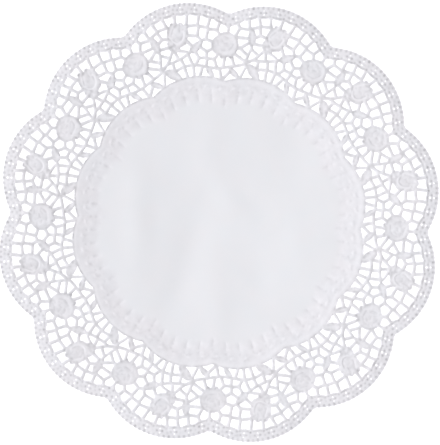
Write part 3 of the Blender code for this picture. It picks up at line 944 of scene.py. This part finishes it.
# %% Lay the repeats round and make the sheet uneven
SWELLS = [  # turn, radius, lean, length, width and height
    (-77, 55, 12, 34, 9, 0.63), (-116, 24, 28, 30, 11, -0.71), (-138, 58, 45, 22, 11, -0.55),
    (40, 17, -25, 24, 8, 0.39), (-168, 60, 12, 22, 9, 0.47), (60, 68, 12, 20, 12, -0.47),
    (4, 53, 12, 22, 10, 0.39), (117, 54, 12, 18, 9, 0.31), (155, 45, 0, 20, 9, -0.24),
]
UNEVEN = [(38.0, 0.21), (17.0, 0.07)]  # size of the patches and height
ROUGH = [(2.0, 0.05)]  # the same for the lace alone
SHADE_UNEVEN = [(4.0, 0.90), (1.7, 0.60)]  # size of the patches and share of the painted shade


def patchy(points, octaves):
    """Smooth noise, as the sum of patches of a few sizes."""
    total = np.zeros(len(points))
    for size, height in octaves:
        total += [height * noise.noise((x / size, y / size, size)) for x, y in points]
    return total


def swelling(points):
    """Height of the sheet's broad swells, whose long axes lean from +Y."""
    total = np.zeros(len(points))
    for turn, radius, lean, length, width, rise in SWELLS:
        along = place(lean, 1.0)
        offset = points - place(turn, radius)
        ahead, aside = offset @ along / length, offset @ to_right(along) / width
        total += rise * np.exp(-(ahead**2) - aside**2)
    return total


def repeated(values):
    """One repeat's values all round the sheet, and 0 for its middle."""
    return np.append(np.tile(values, REPEATS), 0.0)


count = len(plan)
sheet = np.concatenate([*(turned(plan, STEP * k) for k in range(REPEATS)), [(0.0, 0.0)]])
sheet_lace = repeated(lace)
# The painted shade is made patchy
sheet_shade = repeated(painted_shades) * (1 + patchy(sheet, SHADE_UNEVEN))
height = repeated(lift) + repeated(heights) + swelling(sheet)
height += patchy(sheet, UNEVEN) + sheet_lace * patchy(sheet, ROUGH)
height += PAPER - height.min()
print(f"the highest spot is {height.max():.2f} mm over the table")

# %% Fill between the points
MERGE = 1e-6
loops, first = [], 0
for loop in cut_loops:
    loops.append(np.arange(first, first + len(loop)))
    first += len(loop)
one_repeat = [pair for loop in loops for pair in zip(loop, np.roll(loop, -1))]
hole_edges = [(a + k * count, b + k * count) for k in range(REPEATS) for a, b in one_repeat]
rim = np.concatenate([np.arange(first, first + len(edge)) + k * count for k in range(REPEATS)])
edges = [(int(a), int(b)) for a, b in [*hole_edges, *zip(rim, np.roll(rim, -1))]]
filled = delaunay_2d_cdt(sheet.tolist(), edges, [], 0, MERGE)
if len(filled[0]) != len(sheet):
    raise ValueError("two cut edges cross or touch")
faces = np.array([[filled[3][i][0] for i in face] for face in filled[2]])
faces = faces[on_paper(into_first_repeat(sheet[faces].mean(1)))]
print(f"{len(sheet)} points and {len(faces)} triangles on the face of the sheet")

# %% Make the mesh and give it thickness
SMOOTH_UP_TO = 60  # degrees
mesh = bpy.data.meshes.new("paper_lace")
mesh.from_pydata((np.column_stack([sheet, height]) * METRES_PER_MM).tolist(), [], faces.tolist())
# The painted shade and the lace ring go to the material as attributes
for name, values in (("press", sheet_shade), ("lace", sheet_lace)):
    mesh.attributes.new(name, "FLOAT", "POINT").data.foreach_set("value", values.astype(np.float32))
doily = bpy.data.objects.new("paper_lace", mesh)
bpy.context.scene.collection.objects.link(doily)
bpy.ops.object.select_all(action="DESELECT")
doily.select_set(True)
bpy.context.view_layer.objects.active = doily
bpy.ops.object.modifier_add(type="SOLIDIFY")
doily.modifiers[-1].thickness = PAPER * METRES_PER_MM
doily.modifiers[-1].offset = -1.0
bpy.ops.object.modifier_apply(modifier=doily.modifiers[-1].name)
bpy.ops.object.shade_smooth_by_angle(angle=math.radians(SMOOTH_UP_TO))
print(f"{sum(len(face.vertices) - 2 for face in doily.data.polygons)} triangles with its back and cut edges")

# %% [markdown]
# ## Paper
#
# Uncoated white paper is matt. Held to the light it is cloudy, because its fibres settle unevenly, and close
# by it has a tooth of fine fibres that mostly lie one way. Two attributes of the mesh steer the colour.
# "lace" is 1 from the rim of the plain middle outwards, where the die has worked the whole surface, and
# there the paper is painted a little lighter, a painted highlight. The other is a painted shade that
# darkens strands, creases, grooves, beads and hollows towards a grey, as if they lay in shade. A faint
# blotch of warmer and cooler white goes over all.

# %% A small language for materials
class Socket:
    """A node's output that Python's operators work on."""

    def __init__(self, tree, socket):
        self.tree, self.socket = tree, socket

    def node(self, kind, settings=None, output=0, **inputs):
        """Adds a node of that type, with its settings and the values or links of its sockets."""
        made = self.tree.nodes.new(kind)
        for name, value in (settings or {}).items():
            setattr(made, name, value)
        for name, value in inputs.items():
            slot = made.inputs[int(name[1:]) if name[1:].isdigit() else name.replace("_", " ")]
            if isinstance(value, Socket):
                self.tree.links.new(value.socket, slot)
            else:
                slot.default_value = value
        return Socket(self.tree, made.outputs[output])

    def math(self, operation, *values):
        """Adds a Math node."""
        inputs = {f"i{n}": value for n, value in enumerate(values)}
        return self.node("ShaderNodeMath", {"operation": operation}, **inputs)

    def __add__(self, other):
        return self.math("ADD", self, other)

    def __mul__(self, other):
        return self.math("MULTIPLY", self, other)

    def __sub__(self, other):
        return self.math("SUBTRACT", self, other)

    def __rsub__(self, other):
        return self.math("SUBTRACT", other, self)

    __radd__, __rmul__ = __add__, __mul__

    def clamped(self):
        """The value, kept between 0 and 1."""
        return self.node("ShaderNodeClamp", Value=self)

    def stretched(self, gain):
        """A noise with more contrast about its middle, kept between 0 and 1."""
        return (self * gain - (gain - 1) / 2).clamped()

    def mix(self, low, high):
        """The colour between low and high that this value picks."""
        return self.node("ShaderNodeMix", {"data_type": "RGBA"}, output=2, i0=self, i6=low, i7=high)


def set_inputs(node, values):
    """Sets the sockets of a node to plain values."""
    for name, value in values.items():
        node.inputs[name].default_value = value


# %% The lace paper material
PLAIN = (0.706, 0.708, 0.740, 1.0)
CLOUDY = (0.690, 0.690, 0.722, 1.0)
WARM, COOL = (1.007, 1.0, 0.998, 1.0), (0.993, 1.0, 1.002, 1.0)
# The lace ring is painted a little lighter than the plain middle: a painted highlight
LACE_HIGHLIGHT = (0.737, 0.729, 0.766, 1.0)
# The grey towards which the painted shade darkens the paper
PAINTED_SHADE_COLOUR = (0.433, 0.425, 0.450, 1.0)
FULL_SHADE_AT = 1.4  # the painted shade at which paper takes that grey

paper = bpy.data.materials.new("lace_paper_with_painted_shade")
paper.use_nodes = True
shader = paper.node_tree.nodes["Principled BSDF"]
start = Socket(paper.node_tree, paper.node_tree.nodes.new("ShaderNodeTexCoord").outputs["Object"])
grain = start.node("ShaderNodeMapping", Vector=start, Rotation=(0, 0, 0.6), Scale=(1.0, 0.35, 1.0))
cloud = start.node("ShaderNodeTexNoise", Vector=start, Scale=45.0, Detail=3.0)
fibres = start.node("ShaderNodeTexNoise", Vector=grain, Scale=1900.0, Detail=3.0, Roughness=0.6)
tooth = start.node("ShaderNodeTexNoise", Vector=start, Scale=900.0, Detail=2.0)
# The painted shade, read from the mesh
shade_in = start.node("ShaderNodeAttribute", {"attribute_name": "press"}, output=2)
shade_amount = (shade_in * (1 / FULL_SHADE_AT)).clamped()
plain = cloud.stretched(1.6).mix(CLOUDY, PLAIN)
lace_in = start.node("ShaderNodeAttribute", {"attribute_name": "lace"}, output=2)
# A painted highlight over the lace ring
lace_highlit = lace_in.clamped().mix(plain, LACE_HIGHLIGHT)
blotch = start.node("ShaderNodeTexNoise", Vector=start, Scale=60.0, Detail=2.0)
tint = blotch.stretched(3.0).mix(WARM, COOL)
multiplied = {"data_type": "RGBA", "blend_type": "MULTIPLY"}
# The painted shade darkens the colour towards grey
untinted = shade_amount.mix(lace_highlit, PAINTED_SHADE_COLOUR)
colour = start.node("ShaderNodeMix", multiplied, output=2, i0=1.0, i6=untinted, i7=tint)
bump = start.node("ShaderNodeBump", Strength=0.25, Distance=0.00006, Height=fibres * 0.6 + tooth * 0.4)
rough = fibres * 0.1 + 0.8
for socket, name in ((colour, "Base Color"), (bump, "Normal"), (rough, "Roughness")):
    paper.node_tree.links.new(socket.socket, shader.inputs[name])
set_inputs(shader, {"Specular IOR Level": 0.25})
doily.data.materials.append(paper)
print(f"{len(paper.node_tree.nodes)} nodes in the paper")

# %% [markdown]
# ## Light, floor and camera
#
# White paper on a white table shows its relief only by soft light from one side. So a wide lamp stands to
# the left, a weaker one hangs above, a small one near the right evens out the sheet, and the surroundings
# fill in the rest. The camera looks straight down from well above, through a long lens, so that the doily
# isn't distorted.

# %% Floor
FLOOR_SIZE = 6.0
WHITE = (1.0, 1.0, 1.0, 1.0)

bpy.ops.object.select_all(action="DESELECT")
bpy.ops.mesh.primitive_plane_add(size=FLOOR_SIZE, location=(0, 0, 0))
floor = bpy.context.object
floor.name = "table_floor"
white = bpy.data.materials.new("white_floor")
white.use_nodes = True
set_inputs(white.node_tree.nodes["Principled BSDF"], {
    "Base Color": (0.92, 0.92, 0.92, 1.0), "Roughness": 0.9, "Specular IOR Level": 0.0,
    "Emission Color": WHITE, "Emission Strength": 0.38,
})
floor.data.materials.append(white)
print(f"a floor {FLOOR_SIZE:.0f} m wide")

# %% Lights
TURN = 12.25  # how far the first lobe is seen to the left of straight up, in degrees


def lamp(name, azimuth, elevation, distance, size, power):
    """A square soft lamp that faces the doily. Azimuth is clockwise from the top of the view."""
    up = math.radians(elevation)
    where = (*place(azimuth + TURN, distance * math.cos(up)), distance * math.sin(up))
    bpy.ops.object.light_add(type="AREA", location=where)
    light = bpy.context.object
    light.name = name
    light.rotation_euler = (math.pi / 2 - up, 0, math.pi - math.radians(azimuth + TURN))
    light.data.shape = "SQUARE"
    light.data.size = size
    light.data.energy = power
    print(f"{name}: {power} W, {distance} m away")


lamp("side_lamp", azimuth=-88, elevation=28, distance=12.0, size=4.8, power=1420)
lamp("top_lamp", azimuth=0, elevation=90, distance=3.0, size=1.0, power=33)
lamp("near_lamp", azimuth=110, elevation=62, distance=1.1, size=0.5, power=2.45)
world = bpy.data.worlds.new("studio")
world.use_nodes = True
set_inputs(world.node_tree.nodes["Background"], {"Color": WHITE, "Strength": 0.19})
bpy.context.scene.world = world
bpy.context.scene.view_settings.view_transform = "Standard"

# %% Camera
IMAGE_SIZE = np.array([440, 445])
CENTRE_PIXEL = (219.0, 222.5)
MM_PER_PIXEL = 0.6737
CAMERA_HEIGHT = 1.5
SENSOR = 36.0  # mm

across, down = (IMAGE_SIZE / 2 - CENTRE_PIXEL) * MM_PER_PIXEL * METRES_PER_MM
where = (*turned((across, -down), TURN), CAMERA_HEIGHT)
bpy.ops.object.camera_add(location=where, rotation=(0, 0, math.radians(-TURN)))
camera = bpy.context.object
camera.data.sensor_width = SENSOR
camera.data.sensor_fit = "HORIZONTAL"
view_width = IMAGE_SIZE[0] * MM_PER_PIXEL * METRES_PER_MM
camera.data.lens = SENSOR * CAMERA_HEIGHT / view_width
camera.data.clip_end = 10.0
bpy.context.scene.camera = camera
print(f"a {camera.data.lens:.0f} mm lens takes in {view_width * 1000:.0f} mm")

# %% [markdown]
# ## Into the frame
#
# The paper stands for the imported solid. It is hung under the root body, and the imported solid is hidden.

corners = sheet[faces]
ahead, aside = corners[:, 1] - corners[:, 0], corners[:, 2] - corners[:, 0]
flat_area = float((ahead[:, 0] * aside[:, 1] - ahead[:, 1] * aside[:, 0]).sum() / 2) * METRES_PER_MM**2
print(f"flat area {flat_area:.4f} square metres")

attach(doily, "root")
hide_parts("doily")
